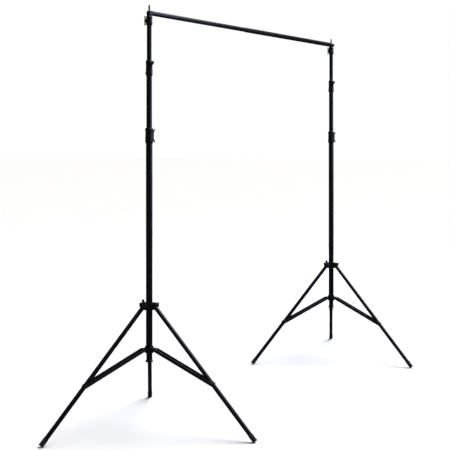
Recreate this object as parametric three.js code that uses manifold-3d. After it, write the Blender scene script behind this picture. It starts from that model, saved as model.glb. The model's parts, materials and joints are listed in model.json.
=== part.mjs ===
// A backdrop support: two telescoping tripod stands joined at the top by a telescoping crossbar.
// Millimetres, +Z up, floor at z = 0, crossbar along +X. Each stand is built in its own frame, on its
// column's axis, and each leg in a leg frame inside that: +X outwards from the column, +Z up.
import * as THREE from "three";
import { mergeVertices } from "three/addons/utils/BufferGeometryUtils.js";
import Module from "manifold-3d";

const wasm = await Module();
wasm.setup();

// --- Layout ---
const SPAN = 1782; // from stud to stud
const STAND_TURN = { left: -52.1, right: -62.2 }; // degrees, about each column
const LEG_AZIMUTHS = [90, 210, 330]; // degrees, in the stand's own frame

// --- Telescoping tubes: each fits in the one below it ---
const COLUMN_R = 15;
const TUBE_WALL = 1.5;
const SLIDE_GAP = 0.5; // radial, between one tube and the next
const COLUMN_LENGTH = 973;
const MIDDLE_LENGTH = 1000;
const UPPER_LENGTH = 1000;
const TOP_LENGTH = 976;
const MIDDLE_SHOWN = 238; // bare tube between the lower and the middle clamp
const UPPER_SHOWN = 160; // bare tube between the middle and the top clamp
const TOP_SHOWN = 1; // the top tube is drawn right in
const MIDDLE_R = COLUMN_R - TUBE_WALL - SLIDE_GAP;
const UPPER_R = MIDDLE_R - TUBE_WALL - SLIDE_GAP;
const TOP_R = UPPER_R - TUBE_WALL - SLIDE_GAP;

// --- Clearances ---
const SEAT_GAP = 0.3; // between pieces that are fixed to each other
const PIN_GAP = 0.3; // radial, round a pin
const SIDE_GAP = 0.4; // beside a piece that turns
const LEG_GAP = 0.7; // between a brace strap and the leg
const CUT_PAST = 1; // how far a cut runs on beyond the piece it opens

// --- Tripod ---
const LEG_R = 10;
const LEG_WALL = 1.3;
const LEG_SPREAD = 42.4; // degrees from vertical
const LEG_PIVOT_Z = 553;
const LEG_PAST_PIVOT = 5;
const BRACE_PIVOT_Z = 357;
const BRACE_JOINT = 434; // down the leg from its pivot
const BRACE_HEIGHT = 16;
const STRAP = 2.5;
const PIN_R = 3;
const PIN_HEAD_R = 5;
const PIN_HEAD = 1.5;

// --- Sliding leg hub ---
const HUB_WALL = 3.6;
const HUB_SLIDE_GAP = 0.4;
const HUB_BELOW = 13; // below the leg pivot
const HUB_ROOF = 6;
const HUB_SWEEP_GAP = 1.2; // round the leg's turning end
const CHEEK = 3.5;
const EAR_LIP = 1.8;
const EAR_SHOULDER = 3; // how far the ear's lower edge runs out past the leg pivot

// --- Fixed brace hub and end cap ---
const BRACE_HUB_WALL = 4.7;
const BRACE_HUB_UP = 14;
const BRACE_HUB_DOWN = 16;
const BRACE_HUB_LIP = 4;
const BRACE_EAR_R = 8;
const BRACE_PIVOT_OUT = 14.5; // from the hub's wall to the pivot
const CAP_PLUG_UP = 15; // inside the column
const CAP_NECK = 34; // bare, below the brace hub
const CAP_FLANGE = 8;
const CAP_FLANGE_R = 17.5;
const CAP_CHAMFER = 2;
const CAP_WALL = 3;

// --- Feet ---
const FOOT_WALL = 1.5;
const FOOT_END = 3.5;
const FOOT_LENGTH = 36;
const FOOT_FLAT = 2.3; // how much of the corner is cut off level with the floor

// --- Clamps and their wing screws ---
const SCREW_R = 3.5;
const BOSS_R = 8;
const CLAMP_SEAT = 20; // how far a clamp sits over its tube's end
const TOP_CLAMP_SEAT = 12;
const CLAMP_CHAMFER = 2;
// A knob's azimuth is in the stand's own frame, and its tilt about its screw. Its boss stands out from
// the piece it screws into, its depth runs along the screw, and its tips are swept out past its middle.
const LOWER_CLAMP = {
  height: 71,
  wall: 3.6,
  knob: { azimuth: 38, tilt: 0, span: 62, boss: 0.5, depth: 5, sweep: 13 },
};
const MIDDLE_CLAMP = {
  height: 71,
  wall: 3,
  knob: { azimuth: 277, tilt: -33, span: 70, boss: 1, depth: 7, sweep: 3 },
};
const TOP_CLAMP = {
  height: 42,
  wall: 4.3,
  // Its span is short enough to pass under the crossbar as the stand turns.
  knob: { azimuth: 178, tilt: 0, span: 44, boss: 0.5, depth: 6, sweep: 0.5 },
};
const HUB_KNOB = { azimuth: 150, tilt: 0, span: 38, boss: 7, depth: 12, sweep: 0.5 };
const HUB_KNOB_RISE = 11; // above the leg pivot
const WING_THICK = 9;
const WING_TIP = 3; // how far in from its end a wing starts to round off
const WING_BEND = 0.8; // how far out along a wing it bends, as a share of its length
const WING_HUB_R = 6.5;

// --- Studs and crossbar ---
const STUD_R = 4;
const STUD_RISE = 44;
const STUD_TAPER = 3; // length of the taper at its tip
const SPIGOT_FLANGE = 5.5;
const SPIGOT_PLUG = 25;
const BAR_OUTER_R = 12.5;
const BAR_WALL = 1.1;
const BAR_SLIDE_GAP = 0.4;
const BAR_MOUTH = -74; // where the wider tube starts, from the middle of the span
const BAR_OVERLAP = 263; // how much of the narrower tube is inside the wider one
const BAR_START = 14; // from the stud to the end of the bar's tube
const LUG_THICK = 15;
const LUG_WIDTH = 20;
const LUG_SHOULDER = 2;
const LUG_PLUG = 40;
const LUG_HOLE_GAP = 0.5;
const LUG_OVERHANG = { left: 13.5, right: 30 };
const BAR_INNER_R = BAR_OUTER_R - BAR_WALL - BAR_SLIDE_GAP;

// --- Roundness ---
const TUBE_SIDES = 20;
const LEG_SIDES = 16;
const SMALL_SIDES = 10;

const metal = (color, roughness) => new THREE.MeshStandardMaterial({ color, roughness, metalness: 0.85 });
const polymer = (color, roughness) => new THREE.MeshStandardMaterial({ color, roughness, metalness: 0 });
const MATERIALS = {
  tube: () => metal(0x1b1b20, 0.34),
  casting: () => polymer(0x141418, 0.46),
  knob: () => polymer(0x101013, 0.55),
  strap: () => metal(0x18181c, 0.42),
  pin: () => metal(0x2a2a2e, 0.4),
  stud: () => metal(0x232327, 0.3),
  rubber: () => polymer(0x0d0d0e, 0.85),
};

const rad = THREE.MathUtils.degToRad;

// --- Solids: manifold-3d joins and cuts what three.js shapes ---
function toSolid(geometry) {
  const bare = geometry.index ? geometry.toNonIndexed() : geometry.clone();
  bare.deleteAttribute("normal");
  bare.deleteAttribute("uv");
  const merged = mergeVertices(bare, 1e-4);
  return new wasm.Manifold(
    new wasm.Mesh({
      numProp: 3,
      vertProperties: merged.attributes.position.array,
      triVerts: new Uint32Array(merged.index.array),
    }),
  );
}

function toGeometry(solid) {
  const mesh = solid.getMesh();
  const geometry = new THREE.BufferGeometry();
  geometry.setAttribute("position", new THREE.BufferAttribute(mesh.vertProperties, 3));
  geometry.setIndex(new THREE.BufferAttribute(mesh.triVerts, 1));
  geometry.computeVertexNormals();
  return geometry;
}

function carve(base, joined, cut) {
  let solid = toSolid(base);
  for (const g of joined) solid = solid.add(toSolid(g));
  for (const g of cut) solid = solid.subtract(toSolid(g));
  return toGeometry(solid);
}

// --- Plain shapes ---

// A profile of [radius, height] corners, turned about +Z.
function turned(profile, sides = TUBE_SIDES) {
  const points = profile.map(([r, z]) => new THREE.Vector2(r, z));
  return new THREE.LatheGeometry(points, sides).rotateX(Math.PI / 2);
}

function ring(outer, inner, low, high, sides = TUBE_SIDES) {
  return turned([[inner, low], [outer, low], [outer, high], [inner, high], [inner, low]], sides);
}

function rod(r, low, high, sides = SMALL_SIDES) {
  const upright = new THREE.CylinderGeometry(r, r, high - low, sides).rotateX(Math.PI / 2);
  return upright.translate(0, 0, (low + high) / 2);
}

const rodAlongX = (r, low, high, sides) => rod(r, low, high, sides).rotateY(Math.PI / 2);
const rodAlongY = (r, low, high, sides) => rod(r, low, high, sides).rotateX(-Math.PI / 2);

function block(low, high) {
  const size = high.map((v, i) => v - low[i]);
  const at = high.map((v, i) => (v + low[i]) / 2);
  return new THREE.BoxGeometry(...size).translate(...at);
}

// An outline in the XZ plane, given a thickness centred on y = 0.
function slab(outline, thickness, curveSegments = 5) {
  const options = { depth: thickness, bevelEnabled: false, curveSegments };
  return new THREE.ExtrudeGeometry(outline, options).rotateX(Math.PI / 2).translate(0, thickness / 2, 0);
}

function polygon(points) {
  return new THREE.Shape(points.map(([x, z]) => new THREE.Vector2(x, z)));
}

function piece(name, geometry, material) {
  const mesh = new THREE.Mesh(geometry, MATERIALS[material]());
  mesh.name = name;
  return mesh;
}

// --- Heights up the column ---
const columnBottom = BRACE_PIVOT_Z - BRACE_HUB_DOWN + BRACE_HUB_LIP;
const columnTop = columnBottom + COLUMN_LENGTH;
const lowerClampBottom = columnTop - CLAMP_SEAT;
const middleClampBottom = lowerClampBottom + LOWER_CLAMP.height + MIDDLE_SHOWN;
const topClampBottom = middleClampBottom + MIDDLE_CLAMP.height + UPPER_SHOWN;
const middleTop = middleClampBottom + CLAMP_SEAT;
const upperTop = topClampBottom + TOP_CLAMP_SEAT;
const topTop = topClampBottom + TOP_CLAMP.height + TOP_SHOWN;
const studBase = topTop + SEAT_GAP + SPIGOT_FLANGE;
const barZ = studBase + SEAT_GAP + LUG_THICK / 2;
const spigotFlangeR = BAR_START - LUG_SHOULDER - SIDE_GAP; // just clear of the lug's shoulder

// --- Where the legs and braces turn, in a leg's frame ---
const legSweep = Math.hypot(LEG_R, LEG_PAST_PIVOT);
const hubR = COLUMN_R + HUB_SLIDE_GAP + HUB_WALL;
const legPivotX = hubR + HUB_SWEEP_GAP + legSweep;
const slotHalf = LEG_R + SIDE_GAP;
const legTilt = rad(LEG_SPREAD);
const footR = LEG_R + FOOT_WALL;
const legToFloor = (LEG_PIVOT_Z - footR * Math.sin(legTilt) + FOOT_FLAT) / Math.cos(legTilt);
const braceHubR = COLUMN_R + SEAT_GAP + BRACE_HUB_WALL;
const bracePivotX = braceHubR + BRACE_PIVOT_OUT;
const braceEnd = {
  x: legPivotX + BRACE_JOINT * Math.sin(legTilt),
  z: LEG_PIVOT_Z - BRACE_JOINT * Math.cos(legTilt),
};
const braceLength = Math.hypot(braceEnd.x - bracePivotX, braceEnd.z - BRACE_PIVOT_Z);
const braceSlope = Math.atan2(braceEnd.z - BRACE_PIVOT_Z, braceEnd.x - bracePivotX);

// Geometry made with the leg's pivot at the origin and the leg along -Z, put at its place in the leg frame.
function alongLeg(geometry) {
  return geometry.rotateY(-legTilt).translate(legPivotX, 0, LEG_PIVOT_Z);
}

function leg() {
  const bottom = -(legToFloor - FOOT_END - SEAT_GAP);
  const wall = ring(LEG_R, LEG_R - LEG_WALL, bottom, LEG_PAST_PIVOT, LEG_SIDES);
  const pinHole = rodAlongY(PIN_R + PIN_GAP, -2 * LEG_R, 2 * LEG_R);
  return alongLeg(carve(wall, [], [pinHole]));
}

// A rubber cap on the leg's end, cut level where it stands on the floor.
function foot() {
  const end = -legToFloor;
  const bore = LEG_R + SEAT_GAP;
  const profile = [
    [0, end],
    [footR, end],
    [footR, end + FOOT_LENGTH],
    [bore, end + FOOT_LENGTH],
    [bore, end + FOOT_END],
    [0, end + FOOT_END],
  ];
  const cap = alongLeg(turned(profile, LEG_SIDES));
  const reach = legPivotX + legToFloor;
  const underFloor = block([0, -reach, -reach], [2 * reach, reach, 0]);
  return carve(cap, [], [underFloor]);
}

// A headed pin across the hub's ears, through the leg's end.
function legPin() {
  const half = slotHalf + CHEEK + SIDE_GAP;
  const shank = rodAlongY(PIN_R, -half - PIN_HEAD / 2, half + PIN_HEAD / 2);
  const heads = [-1, 1].map((side) => {
    const inner = side * half;
    const outer = side * (half + PIN_HEAD);
    return rodAlongY(PIN_HEAD_R, Math.min(inner, outer), Math.max(inner, outer));
  });
  return carve(shank, heads, []).translate(legPivotX, 0, LEG_PIVOT_Z);
}

// Two flat straps either side of the leg, riveted together through the brace hub's ear. Rivet heads
// mark the other end, where the real brace is pinned to the leg.
function brace() {
  const inner = LEG_R + LEG_GAP;
  const outer = inner + STRAP;
  const half = BRACE_HEIGHT / 2;
  const outline = new THREE.Shape();
  outline.absarc(0, 0, half, Math.PI / 2, (3 * Math.PI) / 2, false);
  outline.absarc(braceLength, 0, half, -Math.PI / 2, Math.PI / 2, false);
  const solids = [];
  for (const side of [-1, 1]) {
    solids.push(slab(outline, STRAP, 4).translate(0, (side * (inner + outer)) / 2, 0));
    for (const x of [0, braceLength]) {
      const from = side * (outer - STRAP / 2);
      const to = side * (outer + PIN_HEAD);
      solids.push(rodAlongY(PIN_HEAD_R, Math.min(from, to), Math.max(from, to)).translate(x, 0, 0));
    }
  }
  const shank = rodAlongY(PIN_R, -outer, outer);
  return carve(shank, solids, []).rotateY(-braceSlope).translate(bracePivotX, 0, BRACE_PIVOT_Z);
}

function turnedAbout(geometry, degrees) {
  return geometry.clone().rotateZ(rad(degrees));
}

// The sliding hub: a sleeve with three roofed ears that hold the legs' ends.
function legHub() {
  const bottom = LEG_PIVOT_Z - HUB_BELOW;
  const roofUnder = LEG_PIVOT_Z + legSweep + HUB_SWEEP_GAP;
  const top = roofUnder + HUB_ROOF;
  const lipX = legPivotX + LEG_R + HUB_SWEEP_GAP;
  const earX = lipX + EAR_LIP;
  const legTopAt = (x) => LEG_PIVOT_Z - (x - legPivotX) / Math.tan(legTilt) + LEG_R / Math.sin(legTilt);
  const lipBottom = legTopAt(lipX) + HUB_SWEEP_GAP;
  const ear = slab(
    polygon([[0, bottom], [legPivotX + EAR_SHOULDER, bottom], [earX, lipBottom], [earX, top], [0, top]]),
    2 * (slotHalf + CHEEK),
  );
  const slot = slab(
    polygon([
      [hubR, bottom - CUT_PAST],
      [2 * earX, bottom - CUT_PAST],
      [2 * earX, lipBottom],
      [lipX, lipBottom],
      [lipX, roofUnder],
      [hubR, roofUnder],
    ]),
    2 * slotHalf,
  );
  const across = 2 * (slotHalf + CHEEK);
  const pinHole = rodAlongY(PIN_R + PIN_GAP, -across, across).translate(legPivotX, 0, LEG_PIVOT_Z);
  const knobZ = LEG_PIVOT_Z + HUB_KNOB_RISE;
  const boss = rodAlongX(BOSS_R, COLUMN_R, hubR + HUB_KNOB.boss).translate(0, 0, knobZ);
  const bore = rod(COLUMN_R + HUB_SLIDE_GAP, bottom - CUT_PAST, top + CUT_PAST, TUBE_SIDES);
  const screwHole = rodAlongX(SCREW_R + PIN_GAP, 0, 2 * (hubR + HUB_KNOB.boss)).translate(0, 0, knobZ);
  return carve(
    rod(hubR, bottom, top, TUBE_SIDES),
    [...LEG_AZIMUTHS.map((a) => turnedAbout(ear, a)), turnedAbout(boss, HUB_KNOB.azimuth)],
    [
      ...LEG_AZIMUTHS.flatMap((a) => [turnedAbout(slot, a), turnedAbout(pinHole, a)]),
      bore,
      turnedAbout(screwHole, HUB_KNOB.azimuth),
    ],
  );
}

// The fixed hub at the column's foot: a sleeve with a lip under the tube and one tongue for each brace.
function braceHub() {
  const low = BRACE_PIVOT_Z - BRACE_HUB_DOWN;
  const high = BRACE_PIVOT_Z + BRACE_HUB_UP;
  const half = LEG_R + LEG_GAP - SIDE_GAP;
  const outline = new THREE.Shape();
  outline.moveTo(0, BRACE_PIVOT_Z - BRACE_EAR_R);
  outline.lineTo(bracePivotX, BRACE_PIVOT_Z - BRACE_EAR_R);
  outline.absarc(bracePivotX, BRACE_PIVOT_Z, BRACE_EAR_R, -Math.PI / 2, Math.PI / 2, false);
  outline.lineTo(0, BRACE_PIVOT_Z + BRACE_EAR_R);
  const tongue = slab(outline, 2 * half);
  const pinHole = rodAlongY(PIN_R + PIN_GAP, -2 * half, 2 * half).translate(bracePivotX, 0, BRACE_PIVOT_Z);
  const seat = rod(COLUMN_R + SEAT_GAP, columnBottom - SEAT_GAP, high + CUT_PAST, TUBE_SIDES);
  const throughBore = rod(COLUMN_R - TUBE_WALL, low - CUT_PAST, high, TUBE_SIDES);
  return carve(
    rod(braceHubR, low, high, TUBE_SIDES),
    LEG_AZIMUTHS.map((a) => turnedAbout(tongue, a)),
    [...LEG_AZIMUTHS.map((a) => turnedAbout(pinHole, a)), seat, throughBore],
  );
}

// A plug in the column's lower end, with a bare neck and a flange below the brace hub.
function endCap() {
  const plugR = COLUMN_R - TUBE_WALL - SEAT_GAP;
  const neckTop = BRACE_PIVOT_Z - BRACE_HUB_DOWN;
  const flangeTop = neckTop - CAP_NECK;
  const bottom = flangeTop - CAP_FLANGE;
  const top = columnBottom + CAP_PLUG_UP;
  const hollowR = plugR - CAP_WALL;
  return turned([
    [0, bottom],
    [CAP_FLANGE_R - CAP_CHAMFER, bottom],
    [CAP_FLANGE_R, bottom + CAP_CHAMFER],
    [CAP_FLANGE_R, flangeTop - CAP_CHAMFER],
    [CAP_FLANGE_R - CAP_CHAMFER, flangeTop],
    [plugR, flangeTop],
    [plugR, top],
    [hollowR, top],
    [hollowR, bottom + CAP_WALL],
    [0, bottom + CAP_WALL],
  ]);
}

// A clamp round a tube's end: it seats on that tube, and its screw bears on the tube that slides in it.
function clamp(spec, fixedR, slidingR, seat) {
  const outer = fixedR + spec.wall;
  const h = spec.height;
  const body = turned([
    [slidingR + SEAT_GAP, h],
    [slidingR + SEAT_GAP, seat + SEAT_GAP],
    [fixedR + SEAT_GAP, seat + SEAT_GAP],
    [fixedR + SEAT_GAP, 0],
    [outer - CLAMP_CHAMFER, 0],
    [outer, CLAMP_CHAMFER],
    [outer, h - CLAMP_CHAMFER],
    [outer - CLAMP_CHAMFER, h],
    [slidingR + SEAT_GAP, h],
  ]);
  const { azimuth, boss } = spec.knob;
  const knobZ = screwHeight(spec);
  const bossBody = rodAlongX(BOSS_R, outer - spec.wall / 2, outer + boss).translate(0, 0, knobZ);
  const screwHole = rodAlongX(SCREW_R + PIN_GAP, 0, 2 * (outer + boss)).translate(0, 0, knobZ);
  return carve(body, [turnedAbout(bossBody, azimuth)], [turnedAbout(screwHole, azimuth)]);
}

const screwHeight = (spec) => spec.height / 2;

// A wing screw along +X: a shank that stops short of the tube, a round middle and two wings.
function wingScrew(knob, tip, seat) {
  const half = knob.span / 2;
  const bend = half * WING_BEND;
  const back = seat + SIDE_GAP;
  const front = back + knob.depth;
  const tipBack = back + knob.sweep;
  const tipFront = front + knob.sweep;
  const tipMiddle = (tipBack + tipFront) / 2;
  const wings = new THREE.Shape();
  wings.moveTo(back, 0);
  wings.quadraticCurveTo(back, bend, tipBack, half - WING_TIP);
  wings.quadraticCurveTo(tipMiddle, half + WING_TIP, tipFront, half - WING_TIP);
  wings.quadraticCurveTo(front, bend, front, 0);
  wings.quadraticCurveTo(front, -bend, tipFront, -half + WING_TIP);
  wings.quadraticCurveTo(tipMiddle, -half - WING_TIP, tipBack, -half + WING_TIP);
  wings.quadraticCurveTo(back, -bend, back, 0);
  const head = rodAlongX(WING_HUB_R, back, front);
  const shank = rodAlongX(SCREW_R, tip, (back + front) / 2);
  return carve(head, [slab(wings, WING_THICK, 4), shank], []).rotateX(rad(knob.tilt));
}

// The pressed-in plug and bare stud at the top of each stand.
function spigot() {
  const plugR = TOP_R - TUBE_WALL - SEAT_GAP;
  const base = topTop + SEAT_GAP;
  return turned(
    [
      [0, base - SPIGOT_PLUG],
      [plugR, base - SPIGOT_PLUG],
      [plugR, base],
      [spigotFlangeR, base],
      [spigotFlangeR, studBase],
      [STUD_R, studBase],
      [STUD_R, studBase + STUD_RISE - STUD_TAPER],
      [STUD_R - STUD_TAPER / 2, studBase + STUD_RISE],
      [0, studBase + STUD_RISE],
    ],
    LEG_SIDES,
  );
}

// A flat tongue over the stud, with a shoulder and a plug in the bar's tube. The stud is at the origin
// and the bar runs along +X from it.
function lug(barR, overhang) {
  const half = LUG_WIDTH / 2;
  const tongueEnd = BAR_START - LUG_SHOULDER / 2;
  const outline = new THREE.Shape();
  outline.moveTo(tongueEnd, -half);
  outline.lineTo(tongueEnd, half);
  outline.lineTo(half - overhang, half);
  outline.absarc(half - overhang, 0, half, Math.PI / 2, (3 * Math.PI) / 2, false);
  const tongue = slab(outline, LUG_THICK).rotateX(Math.PI / 2);
  const shoulder = rodAlongX(barR, BAR_START - LUG_SHOULDER, BAR_START - SEAT_GAP, TUBE_SIDES);
  const plug = rodAlongX(barR - BAR_WALL - SEAT_GAP, BAR_START - LUG_SHOULDER, BAR_START + LUG_PLUG);
  const hole = rod(STUD_R + LUG_HOLE_GAP, -LUG_THICK, LUG_THICK);
  return carve(tongue, [shoulder, plug], [hole]);
}

function placed(mesh, z, azimuth = 0) {
  mesh.position.z = z;
  mesh.rotation.z = rad(azimuth);
  return mesh;
}

function clampAndScrew(side, where, spec, bottom, fixedR, slidingR, seat) {
  const { azimuth, boss } = spec.knob;
  const screw = wingScrew(spec.knob, slidingR + SEAT_GAP, fixedR + spec.wall + boss);
  return [
    placed(piece(side + "_" + where + "_clamp", clamp(spec, fixedR, slidingR, seat), "casting"), bottom),
    placed(piece(side + "_" + where + "_clamp_knob", screw, "knob"), bottom + screwHeight(spec), azimuth),
  ];
}

function stand(side) {
  const group = new THREE.Group();
  const bore = (r) => r - TUBE_WALL;
  const tube = (r, top, length) => ring(r, bore(r), top - length, top);
  group.add(
    piece(side + "_lower_tube", tube(COLUMN_R, columnTop, COLUMN_LENGTH), "tube"),
    piece(side + "_middle_tube", tube(MIDDLE_R, middleTop, MIDDLE_LENGTH), "tube"),
    piece(side + "_upper_tube", tube(UPPER_R, upperTop, UPPER_LENGTH), "tube"),
    piece(side + "_top_tube", tube(TOP_R, topTop, TOP_LENGTH), "tube"),
    piece(side + "_spigot", spigot(), "stud"),
    piece(side + "_leg_hub", legHub(), "casting"),
    piece(side + "_brace_hub", braceHub(), "casting"),
    piece(side + "_end_cap", endCap(), "casting"),
    ...clampAndScrew(side, "lower", LOWER_CLAMP, lowerClampBottom, COLUMN_R, MIDDLE_R, CLAMP_SEAT),
    ...clampAndScrew(side, "middle", MIDDLE_CLAMP, middleClampBottom, MIDDLE_R, UPPER_R, CLAMP_SEAT),
    ...clampAndScrew(side, "top", TOP_CLAMP, topClampBottom, UPPER_R, TOP_R, TOP_CLAMP_SEAT),
  );
  const hubScrew = wingScrew(HUB_KNOB, COLUMN_R + SEAT_GAP, hubR + HUB_KNOB.boss);
  const hubKnob = piece(side + "_leg_hub_knob", hubScrew, "knob");
  group.add(placed(hubKnob, LEG_PIVOT_Z + HUB_KNOB_RISE, HUB_KNOB.azimuth));
  LEG_AZIMUTHS.forEach((azimuth, i) => {
    const legFrame = new THREE.Group();
    legFrame.rotation.z = rad(azimuth);
    legFrame.add(
      piece(side + "_leg_" + (i + 1), leg(), "tube"),
      piece(side + "_foot_" + (i + 1), foot(), "rubber"),
      piece(side + "_leg_pin_" + (i + 1), legPin(), "pin"),
      piece(side + "_brace_" + (i + 1), brace(), "strap"),
    );
    group.add(legFrame);
  });
  group.rotation.z = rad(STAND_TURN[side]);
  return group;
}

function crossbar() {
  const group = new THREE.Group();
  const barTube = (r, from, to) => ring(r, r - BAR_WALL, from, to).rotateY(Math.PI / 2);
  const barEnd = SPAN / 2 - BAR_START;
  const leftLug = piece("bar_left_lug", lug(BAR_INNER_R, LUG_OVERHANG.left), "casting");
  const rightLug = piece("bar_right_lug", lug(BAR_OUTER_R, LUG_OVERHANG.right), "casting");
  leftLug.position.x = -SPAN / 2;
  rightLug.position.x = SPAN / 2;
  rightLug.rotation.z = Math.PI;
  group.add(
    piece("bar_inner_tube", barTube(BAR_INNER_R, -barEnd, BAR_MOUTH + BAR_OVERLAP), "tube"),
    piece("bar_outer_tube", barTube(BAR_OUTER_R, BAR_MOUTH, barEnd), "tube"),
    leftLug,
    rightLug,
  );
  group.position.z = barZ;
  return group;
}

const leftStand = stand("left");
leftStand.position.x = -SPAN / 2;
const rightStand = stand("right");
rightStand.position.x = SPAN / 2;

// The origin is under the middle of the whole assembly, on the floor.
const assembly = new THREE.Group();
assembly.add(leftStand, rightStand, crossbar());
assembly.updateMatrixWorld(true);
const centre = new THREE.Box3().setFromObject(assembly, true).getCenter(new THREE.Vector3());
assembly.position.set(-centre.x, -centre.y, 0);

export default assembly;
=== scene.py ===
import json
import math

import bmesh
import bpy
from mathutils import Matrix, Vector


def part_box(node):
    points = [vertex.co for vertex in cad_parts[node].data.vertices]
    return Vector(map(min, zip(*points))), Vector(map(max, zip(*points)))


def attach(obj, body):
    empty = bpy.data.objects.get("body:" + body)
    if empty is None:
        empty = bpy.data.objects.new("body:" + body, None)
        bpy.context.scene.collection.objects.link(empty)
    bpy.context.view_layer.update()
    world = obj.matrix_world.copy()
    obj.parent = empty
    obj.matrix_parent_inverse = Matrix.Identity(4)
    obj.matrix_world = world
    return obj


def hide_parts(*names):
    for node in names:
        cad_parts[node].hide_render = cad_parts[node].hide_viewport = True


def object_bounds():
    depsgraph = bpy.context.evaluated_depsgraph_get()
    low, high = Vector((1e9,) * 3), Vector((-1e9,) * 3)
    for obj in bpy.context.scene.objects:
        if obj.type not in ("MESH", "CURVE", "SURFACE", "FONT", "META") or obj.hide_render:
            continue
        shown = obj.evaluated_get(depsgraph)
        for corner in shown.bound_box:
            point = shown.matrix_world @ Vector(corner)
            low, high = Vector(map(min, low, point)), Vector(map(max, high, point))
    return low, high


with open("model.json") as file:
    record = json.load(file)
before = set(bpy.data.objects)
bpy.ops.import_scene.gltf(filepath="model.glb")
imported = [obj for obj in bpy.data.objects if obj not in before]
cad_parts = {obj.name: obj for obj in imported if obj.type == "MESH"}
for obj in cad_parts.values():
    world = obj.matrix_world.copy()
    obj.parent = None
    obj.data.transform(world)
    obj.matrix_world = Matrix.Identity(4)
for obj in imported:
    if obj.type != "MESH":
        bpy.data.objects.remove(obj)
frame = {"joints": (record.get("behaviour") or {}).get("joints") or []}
cad_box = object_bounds()

# A backdrop support: two telescoping tripod stands that carry a telescoping crossbar between them.
# Shapes are drawn in millimetres round their own middle, and turned to metres as they become meshes.
SIDES = ("left", "right")
LEGS = (1, 2, 3)
scene = bpy.context.scene


# --- Camera ---
# It stands in front of the left stand at chest height and looks level and well to the right of it, so
# the right stand is further off and smaller. The view is moved down to take in the feet.
CAMERA_FROM_LEFT_COLUMN = Vector((-3.5086, -2.7720))
CAMERA_HEIGHT = 1.305
LOOK = Vector((0.8302, 0.5575, 0.0))
LENS = 78
VIEW_SHIFT = (0.0006, -0.1847)


def middle_of(node):
    low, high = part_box(node)
    return (low + high) / 2


left_column = middle_of("left_lower_tube")
camera_data = bpy.data.cameras.new("camera")
camera_data.lens = LENS
camera_data.shift_x, camera_data.shift_y = VIEW_SHIFT
camera = bpy.data.objects.new("camera", camera_data)
camera.location = (
    left_column.x + CAMERA_FROM_LEFT_COLUMN.x,
    left_column.y + CAMERA_FROM_LEFT_COLUMN.y,
    CAMERA_HEIGHT,
)
camera.rotation_mode = "QUATERNION"
camera.rotation_quaternion = LOOK.to_track_quat("-Z", "Y")
scene.collection.objects.link(camera)
scene.camera = camera


# --- Floor and studio light ---
# A broad pale floor under a white surround, lit evenly by one very soft overhead source. A cool
# softbox hangs to the right above head height, and one behind gives the tubes their right edge.
FLOOR_HALF = 60
SOFTBOXES = (
    # name, turn from the view direction in degrees, height, distance, size (wide, tall), colour, power
    ("softbox_right", -97, 2.2, 4.2, (2.2, 1.5), (0.5, 0.6, 1.0), 80),
    ("softbox_edge", -16, 2.25, 6.5, (3.2, 1.5), (0.7, 0.78, 1.0), 60),
)
OVERHEAD = {"strength": 3.85, "spread": 50, "lean": 28, "turn": -62, "colour": (1.0, 0.99, 0.98)}
SURROUND = {"seen": 1.0, "lighting": 0.035}

scene.view_settings.view_transform = "Standard"
world = bpy.data.worlds.new("surround")
world.use_nodes = True
scene.world = world
sky = world.node_tree.nodes
wires = world.node_tree.links
seen_white = sky.new("ShaderNodeBackground")
seen_white.inputs["Strength"].default_value = SURROUND["seen"]
seen_white.inputs["Color"].default_value = (1, 1, 1, 1)
room_light = sky["Background"]
room_light.inputs["Strength"].default_value = SURROUND["lighting"]
room_light.inputs["Color"].default_value = (0.9, 0.94, 1, 1)
ray = sky.new("ShaderNodeLightPath")
chosen = sky.new("ShaderNodeMixShader")
wires.new(ray.outputs["Is Camera Ray"], chosen.inputs[0])
wires.new(room_light.outputs[0], chosen.inputs[1])
wires.new(seen_white.outputs[0], chosen.inputs[2])
wires.new(chosen.outputs[0], sky["World Output"].inputs["Surface"])

row_middle = (cad_box[0] + cad_box[1]) / 2


def hang_light(name, light, place, towards):
    lamp = bpy.data.objects.new(name, light)
    lamp.location = place
    lamp.rotation_mode = "QUATERNION"
    lamp.rotation_quaternion = (towards - place).to_track_quat("-Z", "Y")
    lamp.visible_camera = False
    scene.collection.objects.link(lamp)


for name, turn, height, distance, size, colour, power in SOFTBOXES:
    softbox = bpy.data.lights.new(name, "AREA")
    softbox.shape = "RECTANGLE"
    softbox.size, softbox.size_y = size
    softbox.color = colour
    softbox.energy = power
    away = Matrix.Rotation(math.radians(turn), 3, "Z") @ LOOK * distance
    hang_light(name, softbox, row_middle + Vector((away.x, away.y, height - row_middle.z)), row_middle)
overhead = bpy.data.lights.new("overhead", "SUN")
overhead.energy = OVERHEAD["strength"]
overhead.angle = math.radians(OVERHEAD["spread"])
overhead.color = OVERHEAD["colour"]
lean = math.radians(OVERHEAD["lean"])
sideways = Matrix.Rotation(math.radians(OVERHEAD["turn"]), 3, "Z") @ LOOK
upwards = sideways * math.sin(lean) + Vector((0, 0, math.cos(lean)))
hang_light("overhead", overhead, row_middle + upwards * 5, row_middle)


def new_finish(name, colour, roughness, metallic=0.0):
    """A material with its plain values set, its node tree, its shader and its object coordinates."""
    material = bpy.data.materials.new(name)
    material.use_nodes = True
    nodes = material.node_tree.nodes
    shader = nodes["Principled BSDF"]
    shader.inputs["Base Color"].default_value = (*colour, 1)
    shader.inputs["Roughness"].default_value = roughness
    shader.inputs["Metallic"].default_value = metallic
    material.diffuse_color = (*colour, 1)
    return material, material.node_tree, shader, nodes.new("ShaderNodeTexCoord").outputs["Object"]


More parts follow.
